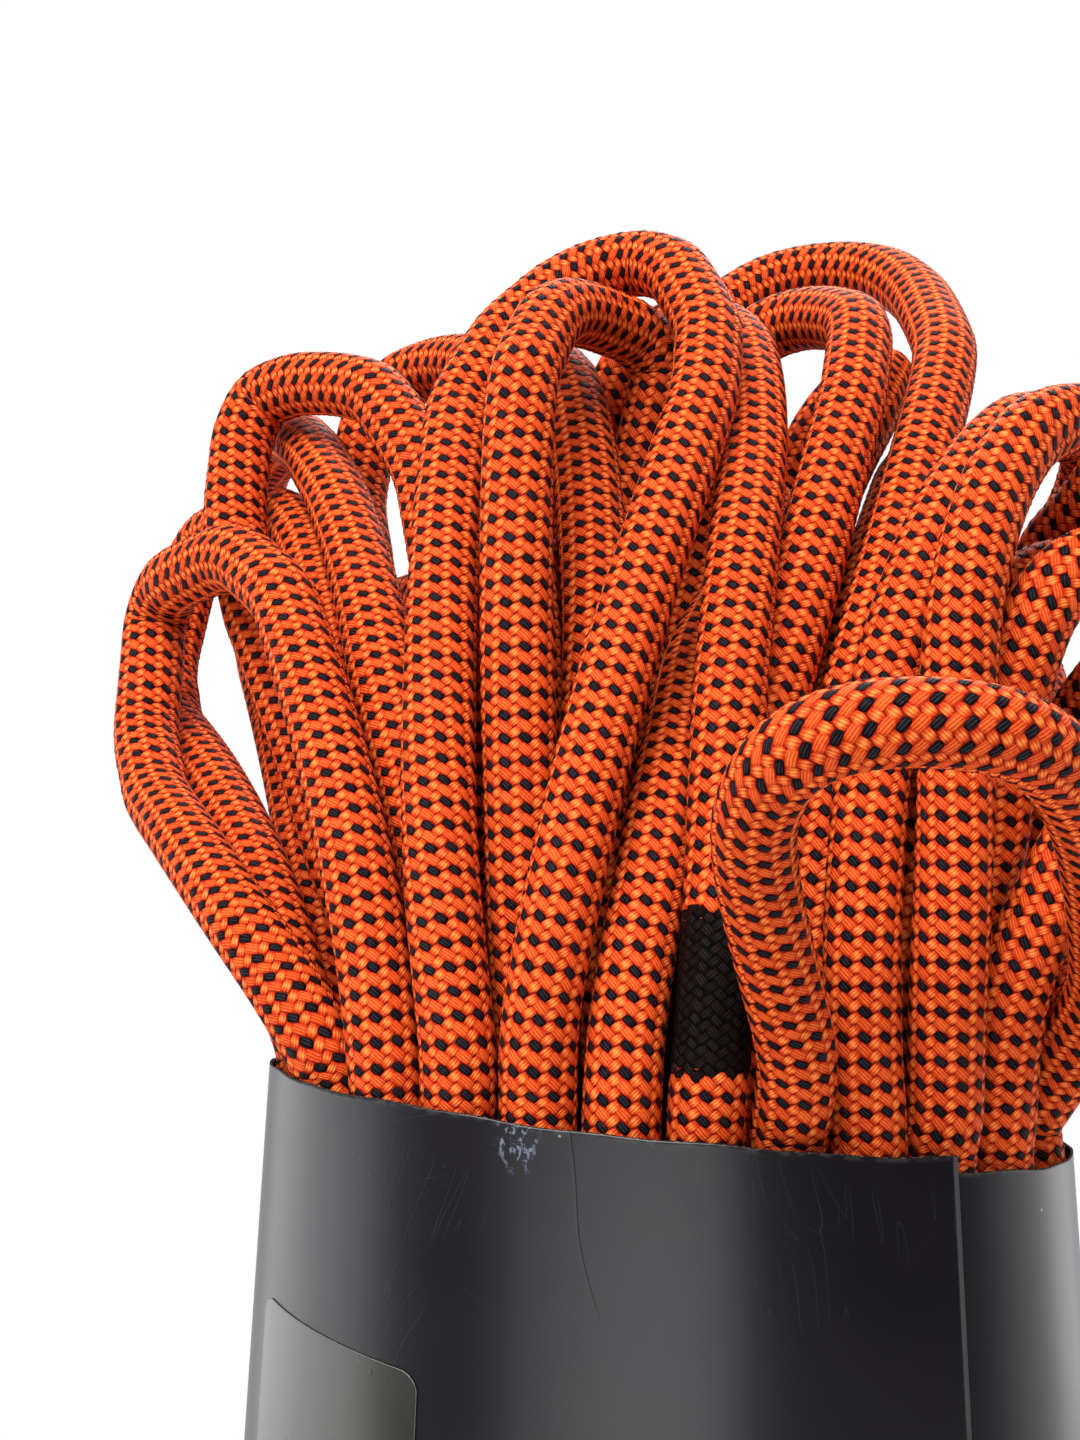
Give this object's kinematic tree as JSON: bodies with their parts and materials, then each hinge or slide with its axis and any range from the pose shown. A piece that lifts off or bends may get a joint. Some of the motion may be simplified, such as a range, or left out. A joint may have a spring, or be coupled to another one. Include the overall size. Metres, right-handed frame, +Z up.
{
  "type": "dynamic climbing rope",
  "caption": "Orange and black sheathed dynamic climbing rope, wound into a standing hank that fans out of a rolled black card sleeve with a blank film label",
  "frame": {"origin": "middle of the foot of the bounding box, on the ground under the sleeve", "axes": "+Z up along the sleeve, -Y is the front that the picture shows, +X to its right"},
  "size_m": [0.1704, 0.1716, 0.4167],
  "materials": {
    "sheath": "woven",
    "core": "bundled yarn",
    "fused": "melted",
    "clear_film": "clear",
    "card": "satin coated",
    "tape": "matte",
    "film": "smooth"
  },
  "bodies": {
    "root": {"rope_hank": "sheath", "end_a_sheath": "sheath", "end_a_core_1": "core", "end_a_core_2": "core", "end_a_core_3": "core", "end_a_core_4": "core", "end_a_core_5": "core", "end_a_core_6": "core", "end_a_core_7": "core", "end_a_tip": "fused", "end_a_band": "clear_film", "end_b_sheath": "sheath", "end_b_core_1": "core", "end_b_core_2": "core", "end_b_core_3": "core", "end_b_core_4": "core", "end_b_core_5": "core", "end_b_core_6": "core", "end_b_core_7": "core", "end_b_tip": "fused", "end_b_band": "clear_film", "sleeve": "card", "seam_tape": "tape", "label": "film"}
  },
  "joints": []
}
